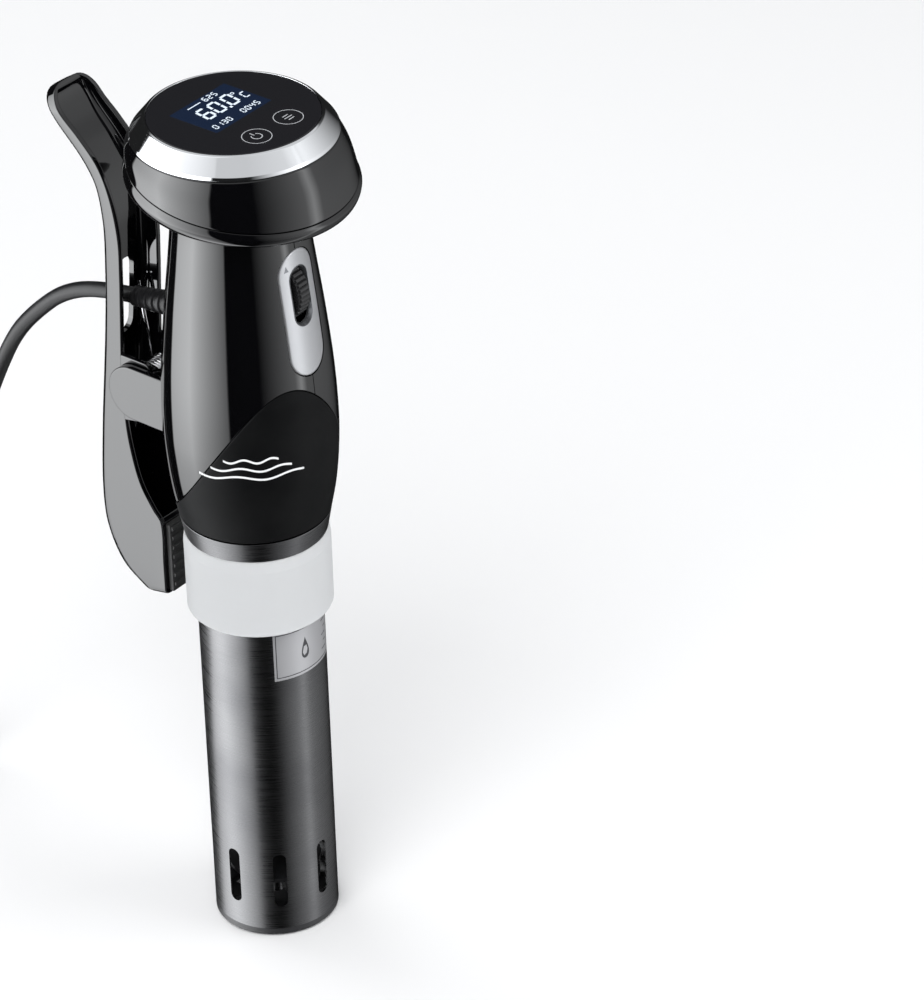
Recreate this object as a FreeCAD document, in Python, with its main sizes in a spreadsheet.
import FreeCAD, Part
import math
import os
import re

import Sketcher
from FreeCAD import Placement, Rotation, Vector

# Immersion circulator for a cooking pot.
# Millimetres. +Z runs up the stick, the origin is on the stick's axis at the foot of the bottom cap.
# The thumb wheel faces -Y, the pot clamp and the mains cord are on the +Y side, +X is the right.

DIMENSIONS = {
    # immersed tube and its cap
    "tube_radius": 27.5,
    "tube_wall": 0.8,
    "tube_top": 168.0,
    "cap_flange": 4.0,
    "cap_height": 10.0,
    "cap_floor": 2.0,
    "cap_chamfer": 1.2,
    "intake_inner": 8.5,
    "intake_outer": 22.0,
    "intake_width": 5.0,
    "intake_count": 8,
    "outlet_width": 6.0,
    "outlet_low": 16.0,
    "outlet_high": 44.0,
    "outlet_count": 8,
    # pump and heater inside the tube
    "shaft_radius": 2.0,
    "shaft_low": 9.0,
    "shaft_high": 197.0,
    "running_gap": 0.05,
    "impeller_low": 14.0,
    "impeller_high": 26.0,
    "impeller_radius": 20.5,
    "impeller_hub": 5.5,
    "impeller_disc": 1.8,
    "blade_thickness": 1.6,
    "blade_count": 6,
    "nut_low": 7.0,
    "nut_radius": 4.2,
    "guide_level": 50.0,
    "guide_thickness": 4.0,
    "guide_hole": 5.5,
    "guide_hole_circle": 16.0,
    "heater_ring_level": 66.0,
    "heater_ring_radius": 17.0,
    "heater_tube": 3.0,
    "heater_bend": 8.0,
    "heater_gap_angle": 90.0,
    "terminal_top": 166.0,
    "probe_radius": 2.0,
    "probe_offset": 14.0,
    "probe_low": 80.0,
    "sensor_radius": 1.5,
    "sensor_back": 10.0,
    "sensor_side": 12.0,
    "sensor_low": 100.0,
    "bulkhead_level": 150.0,
    "bulkhead_thickness": 8.0,
    "seal_bore": 6.0,
    "seal_height": 3.6,
    "oring_radius": 0.7,
    "oring_level": 154.0,
    # light ring and steel ring
    "light_low": 161.8,
    "light_high": 200.0,
    "light_radius": 31.9,
    "light_inner": 28.6,
    "led_board_level": 186.0,
    "board_thickness": 1.6,
    "led_circle": 24.0,
    "led_count": 8,
    "ring_low_radius": 31.1,
    "ring_high": 210.0,
    "ring_high_radius": 33.0,
    "ring_wall": 1.2,
    "plate_thickness": 6.0,
    # motor
    "motor_radius": 17.5,
    "motor_high": 256.0,
    "motor_boss": 6.0,
    "motor_shaft_radius": 1.6,
    "motor_shaft_high": 262.0,
    "coupling_low": 190.0,
    "coupling_high": 204.0,
    "coupling_radius": 6.3,
    "motor_screw_offset": 11.0,
    "sleeve_low": 238.0,
    "sleeve_high": 250.0,
    "sleeve_radius": 20.0,
    # handle, a turned form: a radius at each level
    "handle_foot_level": 210.5,
    "handle_foot_radius": 33.1,
    "handle_low_level": 223.0,
    "handle_low_radius": 35.5,
    "handle_swell_level": 238.0,
    "handle_swell_radius": 37.1,
    "handle_belly_level": 254.0,
    "handle_belly_radius": 37.7,
    "handle_upper_level": 278.0,
    "handle_upper_radius": 36.8,
    "handle_wheel_level": 307.0,
    "handle_wheel_radius": 34.1,
    "handle_neck_level": 336.0,
    "handle_neck_radius": 30.6,
    "handle_throat_level": 352.0,
    "handle_throat_radius": 29.0,
    "handle_top_level": 368.0,
    "handle_top_radius": 28.6,
    "handle_wall": 2.6,
    # soft boot with a wave for its edge
    "boot_thickness": 1.3,
    "boot_low_edge": 212.0,
    "boot_wave": 72.0,
    "boot_wave_angle": 22.0,
    "boot_wave_power": 2.6,
    "boot_seam": 0.35,
    # wheel panel
    "panel_radius": 10.8,
    "panel_low": 298.2,
    "panel_high": 334.3,
    "panel_thickness": 1.6,
    "panel_gap": 0.25,
    "slot_level": 324.0,
    "slot_half_run": 8.0,
    "slot_radius": 4.7,
    "trim_radius": 5.8,
    "trim_proud": 0.35,
    "wheel_radius": 14.0,
    "wheel_thickness": 6.8,
    "wheel_centre": -20.4,
    "wheel_ribs": 36,
    "rib_groove_radius": 0.75,
    "axle_radius": 1.5,
    # electronics
    "board_width": 44.0,
    "board_low": 268.0,
    "board_high": 350.0,
    "board_face": -3.0,
    # head
    "seam_level": 376.3,
    "seam_radius": 48.8,
    "seam_tilt": 10.0,
    "seam_shift": -3.2,
    "brow_level": 385.0,
    "brow_radius": 46.9,
    "rim_level": 372.0,
    "rim_radius": 49.7,
    "rim_tilt": 7.6,
    "rim_shift": -3.0,
    "label_low": 136.0,
    "label_high": 160.5,
    "label_thickness": 0.3,
    "label_start": -130.0,
    "label_sweep": 73.0,
    "bezel_level": 391.4,
    "bezel_radius": 43.85,
    "window_radius": 36.3,
    "window_top": 400.0,
    "window_thickness": 2.8,
    "window_seal": 0.6,
    "head_wall": 2.2,
    "flange_inner": 30.0,
    "control_board_radius": 35.0,
    # clamp
    "pivot_back": 51.8,
    "pivot_level": 255.4,
    "pin_radius": 2.5,
    "arm_outer": 17.5,
    "arm_inner": 13.9,
    "arm_end_radius": 12.85,
    "saddle_thickness": 2.5,
    "lever_half_width": 13.5,
    "lever_wall": 2.5,
    "lever_corner": 6.0,
    "lever_slot_half": 5.4,
    "lever_slot_low": 272.0,
    "lever_slot_high": 310.0,
    "ear_top": 270.2,
    "ear_low": 241.0,
    "ear_front": 44.0,
    "jaw_top": 191.0,
    "jaw_foot": 154.0,
    "pad_face": 40.0,
    "pad_back": 43.0,
    "spring_radius": 8.4,
    "spring_wire": 0.85,
    "spring_turns": 6,
    # mains cord
    "cord_radius": 3.55,
    "relief_back": 34.0,
    "relief_level": 296.7,
    "relief_slope": 8.0,
    "relief_length": 28.0,
    "relief_root": 6.0,
    "relief_tip": 4.4,
    "coil_outer": 45.0,
    "coil_inner": 29.0,
    "tail_end_radius": 30.0,
    "coil_back": 222.0,
    "floor_gap": 0.05,
    "plug_radius": 18.5,
    "plug_length": 44.0,
    "plug_pin_radius": 2.4,
    "plug_pin_spacing": 19.0,
    "plug_pin_length": 19.0,
}

HANDLE_STATIONS = ("foot", "low", "swell", "belly", "upper", "wheel", "neck", "throat", "top")

doc = FreeCAD.newDocument("sous_vide_circulator")
sheet = doc.addObject("Spreadsheet::Sheet", "dims")
SUBPARTS = []


def fill_sheet():
    for row, (name, value) in enumerate(DIMENSIONS.items(), start=1):
        sheet.set(f"A{row}", name)
        sheet.set(f"B{row}", str(value))
        sheet.setAlias(f"B{row}", name)
    doc.recompute()


def size(name):
    """A driving dimension, read from the sheet."""
    return float(sheet.get(name))


def linked(expression):
    """The same expression with each dimension's name pointing at its cell."""
    return re.sub(r"[a-z_]+", lambda m: "dims." + m[0] if m[0] in DIMENSIONS else m[0], str(expression))


def value(expression):
    return float(sheet.evalExpression(linked(expression)))


# ---------------------------------------------------------------- sketches and features


def origin_part(body, role):
    return next(f for f in body.Origin.OriginFeatures if f.Role == role)


def new_body(label):
    body = doc.addObject("PartDesign::Body", label)
    body.Label = label
    SUBPARTS.append(body)
    return body


def new_sketch(body, name, plane="XY_Plane", level=None):
    sketch = body.newObject("Sketcher::SketchObject", name)
    sketch.AttachmentSupport = [(origin_part(body, plane), "")]
    sketch.MapMode = "FlatFace"
    if level is not None:
        sketch.setExpression("AttachmentOffset.Base.z", linked(level))
    return sketch


def fix_point(sketch, geometry, vertex, across, up):
    for kind, expression in (("DistanceX", across), ("DistanceY", up)):
        rule = Sketcher.Constraint(kind, -1, 1, geometry, vertex, value(expression))
        index = sketch.addConstraint(rule)
        sketch.setExpression(f"Constraints[{index}]", linked(expression))


def draw_polygon(sketch, corners):
    """A closed outline, each corner tied to the sheet."""
    points = [Vector(value(x), value(y), 0) for x, y in corners]
    first = sketch.GeometryCount
    count = len(points)
    for i in range(count):
        sketch.addGeometry(Part.LineSegment(points[i], points[(i + 1) % count]), False)
    for i in range(count):
        sketch.addConstraint(Sketcher.Constraint("Coincident", first + i, 2, first + (i + 1) % count, 1))
    for i, (x, y) in enumerate(corners):
        fix_point(sketch, first + i, 1, x, y)


def draw_rectangle(sketch, low_x, high_x, low_y, high_y):
    draw_polygon(sketch, [(low_x, low_y), (high_x, low_y), (high_x, high_y), (low_x, high_y)])


def draw_circle(sketch, x, y, radius):
    circle = Part.Circle(Vector(value(x), value(y), 0), Vector(0, 0, 1), value(radius))
    geometry = sketch.addGeometry(circle, False)
    fix_point(sketch, geometry, 3, x, y)
    index = sketch.addConstraint(Sketcher.Constraint("Radius", geometry, value(radius)))
    sketch.setExpression(f"Constraints[{index}]", linked(radius))


def turned(label, corners):
    """A body of revolution about Z from an outline of (radius, height) corners."""
    body = new_body(label)
    sketch = new_sketch(body, label + "_outline", "XZ_Plane")
    draw_polygon(sketch, corners)
    revolution = body.newObject("PartDesign::Revolution", label + "_turned")
    revolution.Profile = sketch
    revolution.ReferenceAxis = (sketch, ["V_Axis"])
    revolution.Angle = 360
    body.Tip = revolution
    doc.recompute()
    return body


def padded(label, draw, level, height):
    """A flat piece: draw(sketch) fills the sketch at the level, and it is raised by the height."""
    body = new_body(label)
    sketch = new_sketch(body, label + "_outline", "XY_Plane", level)
    draw(sketch)
    pad = body.newObject("PartDesign::Pad", label + "_pad")
    pad.Profile = sketch
    pad.setExpression("Length", linked(height))
    body.Tip = pad
    doc.recompute()
    return body


def pocketed(body, sketch, length, upward=False):
    """Cut a sketch into a body, and make sure that it removes material."""
    before = body.Shape.Volume
    pocket = body.newObject("PartDesign::Pocket", sketch.Name + "_cut")
    pocket.Profile = sketch
    pocket.Reversed = upward
    pocket.setExpression("Length", linked(length))
    body.Tip = pocket
    doc.recompute()
    if body.Shape.Volume >= before - 1e-6:
        raise RuntimeError(f"{pocket.Name} cuts nothing")
    return pocket


def repeated(body, feature, count, axis="Z_Axis"):
    pattern = body.newObject("PartDesign::PolarPattern", feature.Name + "_ring")
    pattern.Originals = [feature]
    pattern.Axis = (origin_part(body, axis), [""])
    pattern.Angle = 360
    pattern.setExpression("Occurrences", linked(count))
    body.Tip = pattern
    doc.recompute()
    return pattern


def cylinder(label, radius, length, base, direction=(0, 0, 1)):
    """A primitive whose radius, length and place are tied to the sheet."""
    rod = doc.addObject("Part::Cylinder", label)
    rod.Label = label
    rod.setExpression("Radius", linked(radius))
    rod.setExpression("Height", linked(length))
    rod.Placement.Rotation = Rotation(Vector(0, 0, 1), Vector(*direction))
    for axis, expression in zip("xyz", base):
        rod.setExpression(f"Placement.Base.{axis}", linked(expression))
    return rod


def block(label, low, high):
    """A primitive box between two corners, each coordinate tied to the sheet."""
    box = doc.addObject("Part::Box", label)
    box.Label = label
    for axis, side, a, b in zip("xyz", ("Length", "Width", "Height"), low, high):
        box.setExpression(f"Placement.Base.{axis}", linked(a))
        box.setExpression(side, linked(f"({b}) - ({a})"))
    return box


def joined(label, kind, pieces, tool=None):
    """A boolean or a group of primitives, kept as one sub-part."""
    result = doc.addObject(kind, label)
    result.Label = label
    if kind == "Part::Cut":
        result.Base = pieces[0]
        result.Tool = tool
    elif kind == "Part::Compound":
        result.Links = pieces
    else:
        result.Shapes = pieces
    SUBPARTS.append(result)
    return result


def kept(primitive):
    SUBPARTS.append(primitive)
    return primitive


def shaped(label, shape):
    """A sub-part whose form is worked out in code from the sheet."""
    feature = doc.addObject("Part::Feature", label)
    feature.Label = label
    feature.Shape = shape.removeSplitter() if len(shape.Solids) == 1 else shape
    feature.Placement = Placement()
    SUBPARTS.append(feature)
    return feature


# ---------------------------------------------------------------- forms used by several pieces


def turned_solid(edges):
    """A full turn about Z of a face whose edges lie in the XZ plane."""
    face = Part.Face(Part.Wire(Part.__sortEdges__(edges)))
    return face.revolve(Vector(0, 0, 0), Vector(0, 0, 1), 360)


def handle_solid(inset):
    """The handle's turned form, made smaller by the inset all round."""
    points = []
    for station in HANDLE_STATIONS:
        radius = size(f"handle_{station}_radius") - inset
        points.append(Vector(radius, 0, size(f"handle_{station}_level")))
    curve = Part.BSplineCurve()
    curve.interpolate(points)
    foot, top = Vector(0, 0, points[0].z), Vector(0, 0, points[-1].z)
    edges = [
        curve.toShape(),
        Part.makeLine(points[-1], top),
        Part.makeLine(top, foot),
        Part.makeLine(foot, points[0]),
    ]
    return turned_solid(edges)


def stadium_prism(radius, low, high, front, back, centre_x=0.0):
    """A pill outline upright in the XZ plane, run from front to back along Y."""
    a, b = Vector(centre_x - radius, front, low), Vector(centre_x - radius, front, high)
    c, d = Vector(centre_x + radius, front, high), Vector(centre_x + radius, front, low)
    crown, sole = Vector(centre_x, front, high + radius), Vector(centre_x, front, low - radius)
    edges = [
        Part.makeLine(a, b),
        Part.Arc(b, crown, c).toShape(),
        Part.makeLine(c, d),
        Part.Arc(d, sole, a).toShape(),
    ]
    return Part.Face(Part.Wire(edges)).extrude(Vector(0, back - front, 0))


def side_prism(edges, half_width):
    """An outline in the YZ plane, run the same distance to each side of it."""
    face = Part.Face(Part.Wire(Part.__sortEdges__(edges)))
    face.translate(Vector(-half_width, 0, 0))
    return face.extrude(Vector(2 * half_width, 0, 0))


def smooth_edge(points):
    """A smooth line through points (y, z) of the middle plane."""
    curve = Part.BSplineCurve()
    curve.interpolate([Vector(0, y, z) for y, z in points])
    return curve.toShape()


def straight_edges(points):
    places = [Vector(0, y, z) for y, z in points]
    return [Part.makeLine(a, b) for a, b in zip(places, places[1:])]


def tilted_circle(level, radius, tilt, shift):
    """A circle round the stick, its front lowered by the tilt in degrees."""
    wire = Part.Wire(Part.makeCircle(radius))
    wire.Placement = Placement(Vector(0, shift, level), Rotation(Vector(1, 0, 0), tilt))
    return wire


def helix_wire(radius, pitch, turns, wire_radius):
    """A round wire wound about Z from height 0."""
    path = Part.makeHelix(pitch, pitch * turns, radius)
    section = Part.Wire(Part.makeCircle(wire_radius, Vector(radius, 0, 0), Vector(0, 1, 0)))
    return Part.Wire(path).makePipeShell([section], True, True)


# ---------------------------------------------------------------- immersed end


def make_bottom_cap():
    inner = "tube_radius - tube_wall"
    body = turned(
        "bottom_cap",
        [
            ("0", "0"),
            ("tube_radius - cap_chamfer", "0"),
            ("tube_radius", "cap_chamfer"),
            ("tube_radius", "cap_flange"),
            (inner, "cap_flange"),
            (inner, "cap_height"),
            (f"{inner} - 2", "cap_height"),
            (f"{inner} - 2", "cap_floor"),
            ("0", "cap_floor"),
        ],
    )
    sketch = new_sketch(body, "intake_slot")
    draw_rectangle(sketch, "intake_inner", "intake_outer", "-intake_width / 2", "intake_width / 2")
    slot = pocketed(body, sketch, "cap_floor + 1", upward=True)
    repeated(body, slot, "intake_count")


def make_skirt_tube():
    body = turned(
        "skirt_tube",
        [
            ("tube_radius - tube_wall", "cap_flange"),
            ("tube_radius", "cap_flange"),
            ("tube_radius", "tube_top"),
            ("tube_radius - tube_wall", "tube_top"),
        ],
    )
    sketch = new_sketch(body, "outlet_slot", "YZ_Plane")
    draw_rectangle(sketch, "-outlet_width / 2", "outlet_width / 2", "outlet_low", "outlet_high")
    slot = pocketed(body, sketch, "tube_radius + 1")
    repeated(body, slot, "outlet_count")


def make_impeller():
    disc = "impeller_high - impeller_disc"
    body = turned(
        "impeller",
        [
            ("shaft_radius", "impeller_low"),
            ("impeller_hub", "impeller_low"),
            ("impeller_hub", disc),
            ("impeller_radius", disc),
            ("impeller_radius", "impeller_high"),
            ("shaft_radius", "impeller_high"),
        ],
    )
    sketch = new_sketch(body, "blade", "XY_Plane", "impeller_low + 1")
    draw_rectangle(
        sketch, "impeller_hub - 1", "impeller_radius - 0.5", "-blade_thickness / 2", "blade_thickness / 2"
    )
    blade = body.newObject("PartDesign::Pad", "blade_pad")
    blade.Profile = sketch
    blade.setExpression("Length", linked("impeller_high - impeller_low - impeller_disc"))
    body.Tip = blade
    doc.recompute()
    repeated(body, blade, "blade_count")


def make_impeller_nut():
    turned(
        "impeller_nut",
        [
            ("0", "nut_low"),
            ("nut_radius - 1", "nut_low"),
            ("nut_radius", "nut_low + 1"),
            ("nut_radius", "impeller_low"),
            ("shaft_radius", "impeller_low"),
            ("shaft_radius", "shaft_low"),
            ("0", "shaft_low"),
        ],
    )


def make_shaft_guide():
    def draw(sketch):
        draw_circle(sketch, "0", "0", "tube_radius - tube_wall")
        draw_circle(sketch, "0", "0", "shaft_radius + running_gap")
        for step in range(6):
            turn = step * 60
            place = f"guide_hole_circle * cos({turn} deg)", f"guide_hole_circle * sin({turn} deg)"
            draw_circle(sketch, *place, "guide_hole")

    padded("shaft_guide", draw, "guide_level", "guide_thickness")


def heater_feet():
    """Where the heater's two legs stand, and the ring's two ends."""
    half = math.radians(size("heater_gap_angle") / 2)
    ring, bend = size("heater_ring_radius"), size("heater_bend")
    x, y = ring * math.cos(half), ring * math.sin(half)
    along_x, along_y = math.sin(half) * bend, -math.cos(half) * bend
    return (x, y), (x + along_x, y + along_y)


def make_heating_element():
    (ring_x, ring_y), (leg_x, leg_y) = heater_feet()
    level, bend = size("heater_ring_level"), size("heater_bend")
    top = size("terminal_top")
    diagonal = 1 - math.cos(math.pi / 4)
    knee_x = ring_x + (leg_x - ring_x) * (1 - diagonal)
    knee_y = ring_y + (leg_y - ring_y) * (1 - diagonal)
    knee = level + bend * diagonal
    edges = [
        Part.makeLine(Vector(leg_x, leg_y, top), Vector(leg_x, leg_y, level + bend)),
        Part.Arc(
            Vector(leg_x, leg_y, level + bend), Vector(knee_x, knee_y, knee), Vector(ring_x, ring_y, level)
        ).toShape(),
        Part.Arc(
            Vector(ring_x, ring_y, level),
            Vector(-size("heater_ring_radius"), 0, level),
            Vector(ring_x, -ring_y, level),
        ).toShape(),
        Part.Arc(
            Vector(ring_x, -ring_y, level),
            Vector(knee_x, -knee_y, knee),
            Vector(leg_x, -leg_y, level + bend),
        ).toShape(),
        Part.makeLine(Vector(leg_x, -leg_y, level + bend), Vector(leg_x, -leg_y, top)),
    ]
    section = Part.Wire(Part.makeCircle(size("heater_tube"), Vector(leg_x, leg_y, top), Vector(0, 0, -1)))
    shaped("heating_element", Part.Wire(edges).makePipeShell([section], True, True))


def make_probes():
    probe_length = "terminal_top - probe_low"
    kept(cylinder("temperature_probe", "probe_radius", probe_length, ("-probe_offset", "0", "probe_low")))
    rods = []
    for side, name in ((-1, "level_rod_front"), (1, "level_rod_back")):
        base = ("-sensor_back", f"{side} * sensor_side", "sensor_low")
        rods.append(cylinder(name, "sensor_radius", "terminal_top - sensor_low", base))
    joined("level_sensors", "Part::Compound", rods)


def make_bulkhead():
    edge, groove = "tube_radius - tube_wall", "tube_radius - tube_wall - 2 * oring_radius"
    top = "bulkhead_level + bulkhead_thickness"
    body = turned(
        "bulkhead",
        [
            ("seal_bore", "bulkhead_level"),
            (edge, "bulkhead_level"),
            (edge, "oring_level - oring_radius"),
            (groove, "oring_level - oring_radius"),
            (groove, "oring_level + oring_radius"),
            (edge, "oring_level + oring_radius"),
            (edge, top),
            ("seal_bore", top),
        ],
    )
    sketch = new_sketch(body, "terminal_holes", "XY_Plane", "bulkhead_level")
    leg_x, leg_y = heater_feet()[1]
    for y in (leg_y, -leg_y):
        draw_circle(sketch, leg_x, y, "heater_tube")
    draw_circle(sketch, "-probe_offset", "0", "probe_radius")
    for side in (-1, 1):
        draw_circle(sketch, "-sensor_back", f"{side} * sensor_side", "sensor_radius")
    pocketed(body, sketch, "bulkhead_thickness + 1", upward=True)

    seal = doc.addObject("Part::Torus", "bulkhead_seal")
    seal.setExpression("Radius1", linked("tube_radius - tube_wall - oring_radius"))
    seal.setExpression("Radius2", linked("oring_radius"))
    seal.setExpression("Placement.Base.z", linked("oring_level"))
    kept(seal)
    bore = "shaft_radius + running_gap"
    for label, low, high in (
        ("shaft_seal", "bulkhead_level", "bulkhead_level + seal_height"),
        ("upper_bearing", "bulkhead_level + seal_height + 0.4", top),
    ):
        turned(label, [(bore, low), ("seal_bore", low), ("seal_bore", high), (bore, high)])


def make_label_plate():
    """A thin blank plate wrapped round the front of the tube, under the light ring."""
    inner = size("tube_radius")
    low, high, thickness = size("label_low"), size("label_high"), size("label_thickness")
    corners = [
        Vector(inner, 0, low),
        Vector(inner + thickness, 0, low),
        Vector(inner + thickness, 0, high),
        Vector(inner, 0, high),
    ]
    face = Part.Face(Part.makePolygon(corners + corners[:1]))
    face.rotate(Vector(0, 0, 0), Vector(0, 0, 1), size("label_start"))
    shaped("label_plate", face.revolve(Vector(0, 0, 0), Vector(0, 0, 1), size("label_sweep")))


# ---------------------------------------------------------------- light ring, steel ring, motor


def make_light_ring():
    turned(
        "light_ring",
        [
            ("tube_radius", "light_low"),
            ("light_radius - 0.8", "light_low"),
            ("light_radius - 0.2", "light_low + 0.4"),
            ("light_radius", "light_low + 1.2"),
            ("light_radius", "light_high - 5.6"),
            ("light_radius - 0.15", "light_high - 3"),
            ("light_radius - 0.55", "light_high - 1"),
            ("light_radius - 1", "light_high"),
            ("light_inner", "light_high"),
            ("light_inner", "tube_top"),
            ("tube_radius", "tube_top"),
        ],
    )


def make_led_board():
    def draw(sketch):
        draw_circle(sketch, "0", "0", "light_inner")
        draw_circle(sketch, "0", "0", "light_inner / 2")

    padded("led_ring_board", draw, "led_board_level", "board_thickness")
    chips = []
    for step in range(int(size("led_count"))):
        turn = 360 / size("led_count") * step
        chip = block(f"led_chip_{step + 1}", ("-1.75", "-1.4", "0"), ("1.75", "1.4", "1.6"))
        for axis in "xyz":
            chip.setExpression(f"Placement.Base.{axis}", None)
        arm = Rotation(Vector(0, 0, 1), turn)
        corner = Vector(size("led_circle") - 1.75, -1.4, size("led_board_level") - 1.6)
        chip.Placement = Placement(arm.multVec(corner), arm)
        chips.append(chip)
    joined("led_chips", "Part::Compound", chips)


def make_steel_ring():
    turned(
        "steel_ring",
        [
            ("ring_low_radius - ring_wall", "light_high"),
            ("ring_low_radius", "light_high"),
            ("ring_high_radius", "ring_high"),
            ("ring_high_radius - ring_wall", "ring_high"),
        ],
    )


def make_end_plate():
    def draw(sketch):
        draw_circle(sketch, "0", "0", "ring_low_radius - ring_wall - 0.1")
        draw_circle(sketch, "0", "0", "coupling_radius + 0.8")
        for side in (-1, 1):
            draw_circle(sketch, f"{side} * motor_screw_offset", "0", "1.5")

    padded("end_plate", draw, "light_high", "plate_thickness")


def make_motor():
    low = "light_high + plate_thickness"
    bore = "motor_shaft_radius + running_gap"
    body = turned(
        "motor",
        [
            (bore, low),
            ("motor_radius", low),
            ("motor_radius", "motor_high - 2"),
            ("motor_radius - 1.5", "motor_high"),
            ("motor_boss", "motor_high"),
            ("motor_boss", "motor_high + 3"),
            (bore, "motor_high + 3"),
        ],
    )
    sketch = new_sketch(body, "motor_screw_holes", "XY_Plane", low)
    for side in (-1, 1):
        draw_circle(sketch, f"{side} * motor_screw_offset", "0", "1.5")
    pocketed(body, sketch, "6", upward=True)
    sleeve = "sleeve_low", "sleeve_high"
    turned(
        "motor_sleeve",
        [
            ("motor_radius", sleeve[0]),
            ("sleeve_radius", sleeve[0]),
            ("sleeve_radius", sleeve[1]),
            ("motor_radius", sleeve[1]),
        ],
    )


def make_rotor():
    length = "motor_shaft_high - shaft_high"
    kept(cylinder("motor_shaft", "motor_shaft_radius", length, ("0", "0", "shaft_high")))
    kept(cylinder("drive_shaft", "shaft_radius", "shaft_high - shaft_low", ("0", "0", "shaft_low")))
    turned(
        "shaft_coupling",
        [
            ("shaft_radius", "coupling_low"),
            ("coupling_radius", "coupling_low"),
            ("coupling_radius", "coupling_high"),
            ("motor_shaft_radius", "coupling_high"),
            ("motor_shaft_radius", "shaft_high"),
            ("shaft_radius", "shaft_high"),
        ],
    )


def screw_solid(head, direction, shank_length, shank_radius=1.5, head_radius=2.8, head_height=2.2):
    """A screw whose head's bearing face is at the point, with its shank along the direction."""
    along = Vector(*direction)
    base = Vector(*head)
    cap = Part.makeCylinder(head_radius, head_height, base - along * head_height, along)
    shank = Part.makeCylinder(shank_radius, shank_length, base, along)
    recess = Part.makeCylinder(head_radius * 0.45, head_height / 2, base - along * head_height, along)
    return cap.fuse(shank).cut(recess).removeSplitter()


def make_motor_screws():
    offset, low = size("motor_screw_offset"), size("light_high")
    screws = [
        screw_solid((side * offset, 0, low), (0, 0, 1), size("plate_thickness") + 6) for side in (-1, 1)
    ]
    shaped("motor_screws", Part.makeCompound(screws))


# ---------------------------------------------------------------- handle


def boot_edge(turn, raise_by=0.0):
    """Height of the boot's wavy edge at a turn in degrees from the front towards -X."""
    wave = (1 + math.cos(math.radians(turn - size("boot_wave_angle")))) / 2
    return size("boot_low_edge") + raise_by + size("boot_wave") * wave ** size("boot_wave_power")


def below_boot_edge(raise_by):
    """Everything near the handle that is lower than the boot's wavy edge."""
    steps = 36
    rims = []
    for radius in (20.0, 60.0):
        points = []
        for step in range(steps):
            turn = step * 360 / steps
            angle = math.radians(-90 - turn)
            points.append(
                Vector(radius * math.cos(angle), radius * math.sin(angle), boot_edge(turn, raise_by))
            )
        rim = Part.BSplineCurve()
        rim.interpolate(points, PeriodicFlag=True)
        rims.append(rim.toShape())
    return Part.makeRuledSurface(rims[0], rims[1]).extrude(Vector(0, 0, -120))


def relief_axis():
    slope = math.radians(-size("relief_slope"))
    return Vector(0, math.cos(slope), math.sin(slope))


def handle_screw_places():
    """(y, z, x of the head) of the screws that pull the two halves together."""
    return ((-24.0, 222.0, 17.0), (24.0, 222.0, 17.0), (19.0, 346.0, 12.0))


def make_handle():
    outer = handle_solid(0)
    skin = outer.cut(handle_solid(size("boot_thickness")))
    boot = skin.common(below_boot_edge(0))
    shaped("grip_boot", boot)

    shell = outer.cut(handle_solid(size("handle_wall")))
    shell = shell.cut(skin.common(below_boot_edge(size("boot_seam"))))

    radius, low, high = size("panel_radius"), size("panel_low"), size("panel_high")
    gap, depth = size("panel_gap"), size("panel_thickness")
    slot_low = size("slot_level") - size("slot_half_run")
    slot_high = size("slot_level") + size("slot_half_run")
    front, inside = -60.0, -15.0
    panel_skin = outer.cut(handle_solid(depth))
    trim_skin = handle_solid(-size("trim_proud")).cut(handle_solid(depth))
    trim_slot = stadium_prism(size("trim_radius"), slot_low, slot_high, front, inside)
    wheel_slot = stadium_prism(size("slot_radius"), slot_low, slot_high, front, inside)
    panel = panel_skin.common(stadium_prism(radius, low, high, front, inside)).cut(trim_slot)
    shaped("wheel_panel", panel)
    shaped("wheel_trim", trim_skin.common(trim_slot).cut(wheel_slot))
    recess = outer.cut(handle_solid(depth)).common(stadium_prism(radius + gap, low, high, front, inside))
    shell = shell.cut(recess).cut(trim_slot)

    axis = relief_axis()
    outlet = Vector(0, size("relief_back"), size("relief_level"))
    shell = shell.cut(Part.makeCylinder(size("relief_root"), 24, outlet - axis * 12, axis))
    for side in (-1, 1):
        hole = Part.makeCylinder(1.5, 20, Vector(side * 8, 28, size("pivot_level")), Vector(0, 1, 0))
        shell = shell.cut(hole)

    bosses, screws, holes = [], [], []
    inside_skin = handle_solid(size("boot_thickness") + 0.6)
    for y, z, head_x in handle_screw_places():
        boss = Part.makeCylinder(4, 80, Vector(-40, y, z), Vector(1, 0, 0)).common(inside_skin)
        bosses.append(boss)
        screws.append(screw_solid((head_x, y, z), (-1, 0, 0), head_x + 10, shank_radius=1.4))
        holes.append(Part.makeCylinder(1.4, head_x + 10, Vector(-10, y, z), Vector(1, 0, 0)))
        holes.append(Part.makeCylinder(2.8, 30, Vector(head_x, y, z), Vector(1, 0, 0)))
    shell = shell.multiFuse(bosses)
    for hole in holes:
        shell = shell.cut(hole)
    for label, low_x in (("handle_shell_left", -60.0), ("handle_shell_right", 0.0)):
        half = Part.makeBox(60, 120, 200, Vector(low_x, -60, 200))
        shaped(label, shell.common(half))
    shaped("handle_screws", Part.makeCompound(screws))


# ---------------------------------------------------------------- thumb wheel


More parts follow.
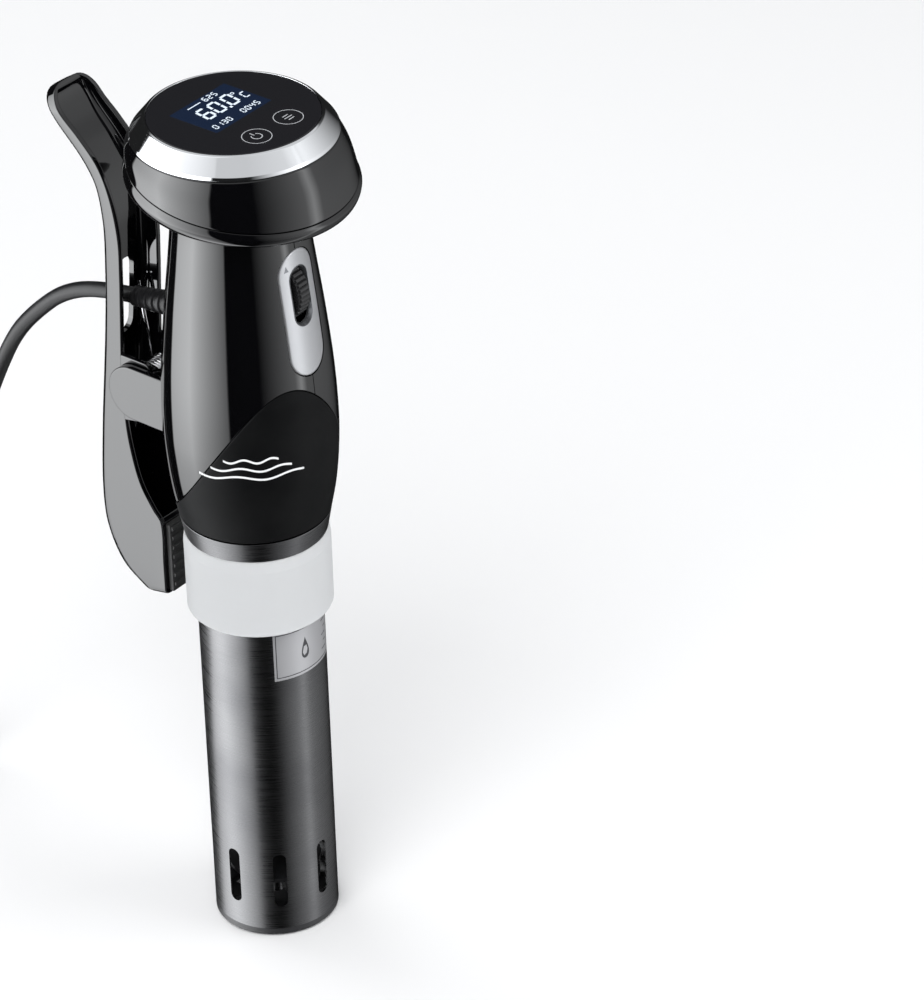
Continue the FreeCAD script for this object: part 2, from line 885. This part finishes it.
def make_thumb_wheel():
    body = new_body("scroll_wheel")
    sketch = new_sketch(body, "wheel_outline", "YZ_Plane")
    draw_circle(sketch, "0", "0", "wheel_radius")
    draw_circle(sketch, "0", "0", "axle_radius + running_gap")
    pad = body.newObject("PartDesign::Pad", "wheel_pad")
    pad.Profile = sketch
    pad.SideType = "Symmetric"
    pad.setExpression("Length", linked("wheel_thickness"))
    body.Tip = pad
    doc.recompute()
    groove = new_sketch(body, "rib_groove", "YZ_Plane", "-wheel_thickness")
    draw_circle(groove, "wheel_radius + 0.15", "0", "rib_groove_radius")
    notch = pocketed(body, groove, "2 * wheel_thickness", upward=True)
    repeated(body, notch, "wheel_ribs", "X_Axis")
    body.setExpression("Placement.Base.y", linked("wheel_centre"))
    body.setExpression("Placement.Base.z", linked("slot_level"))

    kept(cylinder("wheel_axle", "axle_radius", "16", ("-8", "wheel_centre", "slot_level"), (1, 0, 0)))
    front, low, high = "wheel_centre - 4", "slot_level - 7", "slot_level + 7"
    cheeks = [
        block("left_cheek", ("-6", front, low), ("-4.4", "board_face", high)),
        block("right_cheek", ("4.4", front, low), ("6", "board_face", high)),
        block(
            "bracket_back",
            ("-6", "board_face - 1.4", "slot_level - 7"),
            ("6", "board_face", "slot_level + 7"),
        ),
    ]
    blank = doc.addObject("Part::MultiFuse", "bracket_blank")
    blank.Shapes = cheeks
    bore = cylinder("bracket_bore", "axle_radius", "20", ("-10", "wheel_centre", "slot_level"), (1, 0, 0))
    joined("wheel_bracket", "Part::Cut", [blank], bore)


# ---------------------------------------------------------------- electronics in the handle


def make_power_board():
    face = "board_face + board_thickness"
    kept(
        block(
            "power_board",
            ("-board_width / 2", "board_face", "board_low"),
            ("board_width / 2", face, "board_high"),
        )
    )
    kept(block("transformer", ("-20", face, "board_low + 4"), ("-3", f"{face} + 15", "board_low + 22")))
    kept(block("relay", ("2", face, "board_low + 4"), ("20", f"{face} + 13", "board_low + 19")))
    cans = []
    for step, level in enumerate((34, 47, 60)):
        base = ("-11", face, f"board_low + {level}")
        cans.append(cylinder(f"capacitor_{step + 1}", "5", f"{16 - 3 * step}", base, (0, 1, 0)))
    joined("capacitors", "Part::Compound", cans)
    fins = [block("sink_back", ("3", face, "board_low + 28"), ("19", f"{face} + 2", "board_low + 62"))]
    for step in range(5):
        x = 3 + 3.6 * step
        fins.append(
            block(
                f"sink_fin_{step + 1}",
                (x, face, "board_low + 28"),
                (f"{x} + 1.2", f"{face} + 11", "board_low + 62"),
            )
        )
    joined("heat_sink", "Part::MultiFuse", fins)


# ---------------------------------------------------------------- head


def head_sections(inset):
    """The head's outline from the bezel down to the neck: circles, each with a tilt."""
    seam = (size("seam_level"), size("seam_radius") - inset, size("seam_tilt"), size("seam_shift"))
    bezel = (size("bezel_level"), size("bezel_radius") - inset, 0.0, 0.0)
    brow_tilt, brow_shift = size("seam_tilt") * 0.42, size("seam_shift") * 0.4
    brow = (size("brow_level"), size("brow_radius") - inset, brow_tilt, brow_shift)
    rim_tilt, rim_shift = size("rim_tilt"), size("rim_shift")
    rim = (size("rim_level"), size("rim_radius") - inset, rim_tilt, rim_shift)
    neck_radius, neck_level = size("handle_top_radius"), size("rim_level") - 10.2
    under = [
        (size("rim_level") - 3.4, size("rim_radius") - 1.6 - inset, rim_tilt, rim_shift),
        (size("rim_level") - 6.4, size("rim_radius") - 6.0 - inset, rim_tilt * 0.8, rim_shift * 0.8),
        (size("rim_level") - 9.0, size("rim_radius") - 14.0 - inset, rim_tilt * 0.4, rim_shift * 0.4),
        (neck_level, neck_radius + 0.6, 0.0, 0.0),
    ]
    return [bezel, brow, seam], [seam, rim] + under


def make_head():
    wall = size("head_wall")
    upper, lower = head_sections(0.0)
    inner_upper, inner_lower = head_sections(wall)
    upper_solid = Part.makeLoft([tilted_circle(*c) for c in upper], True)
    lower_solid = Part.makeLoft([tilted_circle(*c) for c in lower], True)
    upper_hollow = Part.makeLoft([tilted_circle(*c) for c in inner_upper], True)
    rise = wall / len(inner_lower)
    lifted = [(z + rise * i, radius, tilt, y) for i, (z, radius, tilt, y) in enumerate(inner_lower)]
    lower_hollow = Part.makeLoft([tilted_circle(*c) for c in lifted], True)

    flange_low = size("bezel_level") - wall
    column = Part.makeCylinder(60, 60, Vector(0, 0, flange_low - 60))
    shell_upper = upper_solid.cut(upper_hollow.common(column))
    shell_upper = shell_upper.cut(Part.makeCylinder(size("flange_inner"), 20, Vector(0, 0, flange_low - 5)))
    neck = Part.makeCylinder(size("handle_top_radius"), 40, Vector(0, 0, size("rim_level") - 30))
    shell_lower = lower_solid.cut(lower_hollow).cut(handle_solid(0)).cut(neck)

    screws, board_radius = [], size("control_board_radius")
    thickness = size("board_thickness")
    board_low = flange_low - thickness
    board = Part.makeCylinder(board_radius, thickness, Vector(0, 0, board_low))
    for step in range(4):
        turn = math.radians(45 + 90 * step)
        x, y = (board_radius - 2.5) * math.cos(turn), (board_radius - 2.5) * math.sin(turn)
        head = (x, y, board_low)
        screws.append(screw_solid(head, (0, 0, 1), thickness + 1.6, 1.1, 2.2, 1.6))
        hole = Part.makeCylinder(1.1, size("board_thickness") + 1.6, Vector(*head))
        board = board.cut(hole)
        shell_upper = shell_upper.cut(hole)
    shaped("head_shell_upper", shell_upper)
    shaped("head_shell_lower", shell_lower)
    shaped("control_board", board)
    shaped("board_screws", Part.makeCompound(screws))


def make_display():
    ledge = "window_radius - 1.8"
    ledge_top = "window_top - window_thickness - window_seal"
    turned(
        "bezel_ring",
        [
            (ledge, "bezel_level"),
            ("bezel_radius", "bezel_level"),
            ("bezel_radius - 0.5", "bezel_level + 0.9"),
            ("window_radius + 0.9", "window_top + 0.1"),
            ("window_radius + 0.15", "window_top + 0.1"),
            ("window_radius + 0.15", ledge_top),
            (ledge, ledge_top),
        ],
    )
    seal_top = "window_top - window_thickness"
    turned(
        "window_seal",
        [
            (f"{ledge} + 0.2", ledge_top),
            ("window_radius", ledge_top),
            ("window_radius", seal_top),
            (f"{ledge} + 0.2", seal_top),
        ],
    )
    padded(
        "display_window",
        lambda sketch: draw_circle(sketch, "0", "0", "window_radius"),
        seal_top,
        "window_thickness",
    )
    board_top = "bezel_level - head_wall"
    kept(block("lcd_module", ("-19", "-7.4", board_top), ("19", "21.3", seal_top)))
    below = "bezel_level - head_wall - board_thickness - 5"
    kept(cylinder("buzzer", "5", "5", ("-15", "12", below)))
    springs = []
    low, high = value(board_top), value(seal_top)
    wire = 0.35
    turns = 6
    for side in (-1, 1):
        spring = helix_wire(2.6, (high - low - 2 * wire) / turns, turns, wire)
        spring.translate(Vector(side * 10.1, -20.9, low + wire))
        springs.append(spring)
    shaped("touch_springs", Part.makeCompound(springs))


# ---------------------------------------------------------------- pot clamp


def make_clamp_bracket():
    outer_x, inner_x = size("arm_outer"), size("arm_inner")
    back, level, end = size("pivot_back"), size("pivot_level"), size("arm_end_radius")
    thickness = size("saddle_thickness")
    plan = Part.makeBox(2 * outer_x, back - 20, 2 * end, Vector(-outer_x, 20, level - end))
    round_end = Part.makeCylinder(end, 2 * outer_x, Vector(-outer_x, back, level), Vector(1, 0, 0))
    block_shape = plan.fuse(round_end)
    saddle_zone = handle_solid(-thickness)
    between = Part.makeBox(2 * inner_x, 80, 60, Vector(-inner_x, 0, level - 30))
    bracket = block_shape.cut(between.cut(saddle_zone)).cut(handle_solid(0))
    pin = size("pin_radius")
    blind = outer_x - 1.6
    bracket = bracket.cut(
        Part.makeCylinder(pin, 2 * outer_x + blind, Vector(-blind, back, level), Vector(1, 0, 0))
    )
    screws = []
    for side in (-1, 1):
        head = (side * 8, 32.5, level)
        screws.append(screw_solid(head, (0, 1, 0), 5.6))
        bracket = bracket.cut(Part.makeCylinder(1.5, 5.6, Vector(*head), Vector(0, 1, 0)))
    shaped("clamp_bracket", bracket)
    shaped("bracket_screws", Part.makeCompound(screws))

    pin_solid = Part.makeCylinder(pin, blind + outer_x, Vector(-blind, back, level), Vector(1, 0, 0))
    pin_head = Part.makeCylinder(pin + 1.4, 1.2, Vector(outer_x, back, level), Vector(1, 0, 0))
    shaped("pivot_pin", pin_solid.fuse(pin_head))


def lever_back_edge():
    """The lever's back from the finger end down to the jaw, in the middle plane."""
    return [
        (98.4, 384.4),
        (93.7, 379.4),
        (87.7, 371.6),
        (78.6, 362.1),
        (71.3, 352.2),
        (68.4, 342.0),
        (67.7, 327.0),
        (69.6, 295.0),
        (73.3, 261.0),
        (77.2, 226.0),
        (79.3, 196.0),
        (77.8, 178.0),
        (70.0, 161.5),
        (56.0, 151.5),
    ]


def lever_trough_back():
    """The bottom of the lever's trough, one wall thickness inside its back."""
    return [
        (95.2, 384.0),
        (91.9, 381.1),
        (85.8, 373.2),
        (76.7, 363.7),
        (69.1, 353.3),
        (65.9, 342.4),
        (65.2, 327.0),
        (67.1, 294.8),
        (70.8, 260.7),
        (74.7, 225.8),
        (76.8, 196.0),
        (75.4, 178.7),
        (68.3, 163.4),
        (56.0, 155.0),
    ]


def lever_front_edge():
    """The free edge of the lever's side walls, from the finger end down to the pivot ears."""
    return [
        (91.8, 388.6),
        (84.6, 378.6),
        (75.5, 370.4),
        (65.8, 359.6),
        (60.2, 346.0),
        (57.0, 327.0),
        (57.4, 308.0),
        (59.4, 279.0),
    ]


def lever_low_edge():
    """The free edge of the side walls from the pivot ears down to the jaw."""
    return [(59.6, 237.5), (57.9, 223.5), (53.6, 207.3), (47.2, 196.5)]


def back_edges(solid, half):
    """The two long edges along the back of a form that is a side view given a width."""
    return [
        edge
        for edge in solid.Edges
        if abs(abs(edge.CenterOfMass.x) - half) < 0.01 and edge.Length > 150 and edge.BoundBox.YMax > 80
        and edge.BoundBox.YMin > 50
    ]


def make_clamp_lever():
    wall, half, corner = size("lever_wall"), size("lever_half_width"), size("lever_corner")
    back, front, low_front = lever_back_edge(), lever_front_edge(), lever_low_edge()
    ear_top, ear_low, ear_front = size("ear_top"), size("ear_low"), size("ear_front")
    jaw_back, jaw_top, jaw_foot = size("pad_back"), size("jaw_top"), size("jaw_foot")
    ear = [front[-1], (57.5, ear_top), (ear_front, ear_top), (ear_front, ear_low), low_front[0]]
    jaw = [low_front[-1], (jaw_back, jaw_top), (jaw_back, jaw_foot), (46.0, 151.0), back[-1]]
    outline = [smooth_edge(back), smooth_edge(front), smooth_edge(low_front)]
    outline += straight_edges(ear) + straight_edges(jaw) + straight_edges([front[0], back[0]])
    solid = side_prism(outline, half)
    solid = solid.makeFillet(corner, back_edges(solid, half))

    inner = lever_trough_back()
    trough = [smooth_edge(inner)]
    trough += straight_edges(
        [
            inner[-1],
            (jaw_back + wall, inner[-1][1]),
            (jaw_back + wall, jaw_top + 2),
            (20.0, 200.0),
            (20.0, 400.0),
            (84.0, 400.0),
            (88.6, 387.9),
            inner[0],
        ]
    )
    hollow = side_prism(trough, half - wall)
    hollow = hollow.makeFillet(corner - wall, back_edges(hollow, half - wall))
    lever = solid.cut(hollow)
    slot_half = size("lever_slot_half")
    slot = stadium_prism(
        slot_half, size("lever_slot_low") + slot_half, size("lever_slot_high") - slot_half, 62.0, 82.0
    )
    lever = lever.cut(slot)
    bore = size("pin_radius") + size("running_gap")
    pivot = Vector(-30, size("pivot_back"), size("pivot_level"))
    lever = lever.cut(Part.makeCylinder(bore, 60, pivot, Vector(1, 0, 0)))
    shaped("clamp_lever", lever)

    pad = Part.makeBox(22, jaw_back - size("pad_face"), 34, Vector(-11, size("pad_face"), 155.5))
    ridges = [
        Part.makeBox(22, 0.8, 1.6, Vector(-11, size("pad_face"), 159.0 + 5.2 * step)) for step in range(6)
    ]
    shaped("jaw_pad", pad.cut(Part.makeCompound(ridges)))


def make_torsion_spring():
    radius, wire, turns = size("spring_radius"), size("spring_wire"), int(size("spring_turns"))
    back, level = size("pivot_back"), size("pivot_level")
    pitch = 2.05 * wire
    right_end = size("lever_slot_half") + 1.6
    left_end = right_end - pitch * turns
    coil = helix_wire(radius, pitch, turns, wire)
    # lay the winding's axis along X, with both ends on its +Y side
    coil.rotate(Vector(0, 0, 0), Vector(0, 0, 1), 90)
    coil.rotate(Vector(0, 0, 0), Vector(0, 1, 0), 90)
    coil.translate(Vector(left_end, back, level))
    lever_leg = (Vector(right_end, back + radius, level), Vector(right_end, 65.6, 296.0))
    body_leg = (Vector(left_end, back + radius, level), Vector(left_end, 41.4, 265.4))
    legs = []
    for root, tip in (lever_leg, body_leg):
        along = tip - root
        legs.append(Part.makeSphere(wire, root))
        legs.append(Part.makeCylinder(wire, along.Length, root, along))
        legs.append(Part.makeSphere(wire, tip))
    shaped("torsion_spring", coil.multiFuse(legs))


# ---------------------------------------------------------------- mains cord


def relief_end():
    start = Vector(0, size("relief_back"), size("relief_level"))
    return start + relief_axis() * size("relief_length")


def make_strain_relief():
    body = turned(
        "strain_relief",
        [
            ("0", "-6.6"),
            ("relief_root + 2", "-6.6"),
            ("relief_root + 2", "-4.8"),
            ("relief_root", "-4.8"),
            ("relief_root", "2"),
            ("relief_tip", "relief_length"),
            ("0", "relief_length"),
        ],
    )
    body.Placement.Rotation = Rotation(Vector(1, 0, 0), -90 - size("relief_slope"))
    body.setExpression("Placement.Base.y", linked("relief_back"))
    body.setExpression("Placement.Base.z", linked("relief_level"))


def rounded_route(points):
    """Straight runs joined by tangent arcs, each as large as its two runs allow."""
    edges, start = [], points[0]
    for before, corner, after in zip(points, points[1:], points[2:]):
        into, out = corner - before, after - corner
        half_turn = into.getAngle(out) / 2
        reach = 0.45 * min(into.Length, out.Length)
        radius = reach / math.tan(half_turn)
        into.normalize()
        out.normalize()
        enter, leave = corner - into * reach, corner + out * reach
        inward = (out - into).normalize()
        middle = corner + inward * (radius / math.cos(half_turn) - radius)
        edges.append(Part.LineSegment(start, enter).toShape())
        edges.append(Part.Arc(enter, middle, leave).toShape())
        start = leave
    edges.append(Part.LineSegment(start, points[-1]).toShape())
    return Part.Wire(edges)


def cord_tube(label, points):
    path = rounded_route(points)
    along = points[1] - points[0]
    section = Part.Wire(Part.makeCircle(size("cord_radius"), points[0], along))
    shaped(label, path.makePipeShell([section], True, False))


def coil_height():
    """The put-away cord lies in two layers."""
    return size("floor_gap") + 4 * size("cord_radius")


def round_coil(angle, radius, level):
    """A point over the coil, at an angle in degrees from +X."""
    angle = math.radians(angle)
    return Vector(
        radius * math.cos(angle) - size("coil_outer"), radius * math.sin(angle) + size("coil_back"), level
    )


def cord_route():
    """From the strain relief through the lever's slot, down to the floor and up to the coil."""
    floor = size("floor_gap") + size("cord_radius")
    side_view = [
        (103.0, 281.3),
        (122.0, 264.5),
        (137.5, 247.5),
        (150.0, 225.5),
        (161.0, 200.0),
        (170.0, 165.0),
        (177.0, 125.0),
        (182.0, 85.0),
        (184.0, 31.4),
        (194.2, 13.8),
        (211.8, floor),
    ]
    points = [relief_end(), relief_end() + relief_axis() * 20]
    points += [Vector(0, y, z) for y, z in side_view]
    points.append(round_coil(20, size("coil_outer"), floor))
    return points


def make_cord():
    cord_tube("cord", cord_route())
    outer, inner, wire = size("coil_outer"), size("coil_inner"), size("cord_radius")
    foot = Vector(-outer, size("coil_back"), size("floor_gap"))
    thickness = coil_height() - size("floor_gap")
    ring = Part.makeCylinder(outer + wire, thickness, foot)
    ring = ring.cut(Part.makeCylinder(inner - wire, thickness, foot))
    ring = ring.makeFillet(2.5, ring.Edges)
    shaped("cord_coil", ring)

    upper, entry = coil_height() - wire, plug_entry()
    wide, narrow = outer - 5, size("tail_end_radius")
    climb = ((15, 0.04), (45, 0.22), (75, 0.45), (105, 0.68), (135, 0.88), (165, 1.0))
    tail = [round_coil(0, wide, upper)]
    for angle, share in climb:
        bend = wide + (narrow - wide) * angle / 180
        corner = bend / math.cos(math.radians(15))
        tail.append(round_coil(angle, corner, upper + (entry.z - upper) * share))
    tail.append(entry)
    cord_tube("cord_tail", tail)


def plug_entry():
    """Where the cord enters the plug, which lies on its side on the coil."""
    level = coil_height() + size("floor_gap") + size("plug_radius")
    return round_coil(180, size("tail_end_radius"), level)


def make_plug():
    entry, heading = plug_entry(), Vector(0, -1, 0)
    radius, length = size("plug_radius"), size("plug_length")
    outline = [(0, 0), (5, 0), (6.2, 12), (11, 15), (13.5, 26), (radius, 29), (radius, length), (0, length)]
    corners = [Vector(r, 0, s) for r, s in outline]
    plug = Part.Face(Part.makePolygon(corners + corners[:1]))
    plug = plug.revolve(Vector(0, 0, 0), Vector(0, 0, 1), 360)
    pin_radius, pin_length = size("plug_pin_radius"), size("plug_pin_length")
    pin_spacing = size("plug_pin_spacing")
    pins = []
    for side in (-1, 1):
        base = Vector(side * pin_spacing / 2, 0, length)
        pin = Part.makeCylinder(pin_radius, pin_length, base)
        pins.append(pin.makeFillet(1.2, [pin.Edges[0]]))
    turn = Placement(entry, Rotation(Vector(0, 0, 1), heading))
    for label, shape in (("plug_body", plug), ("plug_pins", Part.makeCompound(pins))):
        piece = shaped(label, shape)
        piece.Placement = turn


def check_and_write():
    doc.recompute()
    for item in doc.Objects:
        if "Invalid" in item.State or "Error" in item.State:
            raise RuntimeError(f"{item.Label} failed: {item.State}")
    for item in SUBPARTS:
        if item.Shape.isNull() or not item.Shape.isValid():
            raise RuntimeError(f"{item.Label} has no valid shape")
        if not item.Shape.Solids:
            raise RuntimeError(f"{item.Label} holds no solid")
    os.makedirs("parts", exist_ok=True)
    for item in SUBPARTS:
        item.Shape.exportStep(f"parts/{item.Label}.step")
    print(len(SUBPARTS), "sub-parts written")


def build():
    fill_sheet()
    make_bottom_cap()
    make_skirt_tube()
    make_impeller()
    make_impeller_nut()
    make_shaft_guide()
    make_heating_element()
    make_probes()
    make_bulkhead()
    make_label_plate()
    make_light_ring()
    make_led_board()
    make_steel_ring()
    make_end_plate()
    make_motor()
    make_rotor()
    make_motor_screws()
    make_handle()
    make_thumb_wheel()
    make_power_board()
    make_head()
    make_display()
    make_clamp_bracket()
    make_clamp_lever()
    make_torsion_spring()
    make_strain_relief()
    make_cord()
    make_plug()
    check_and_write()


build()
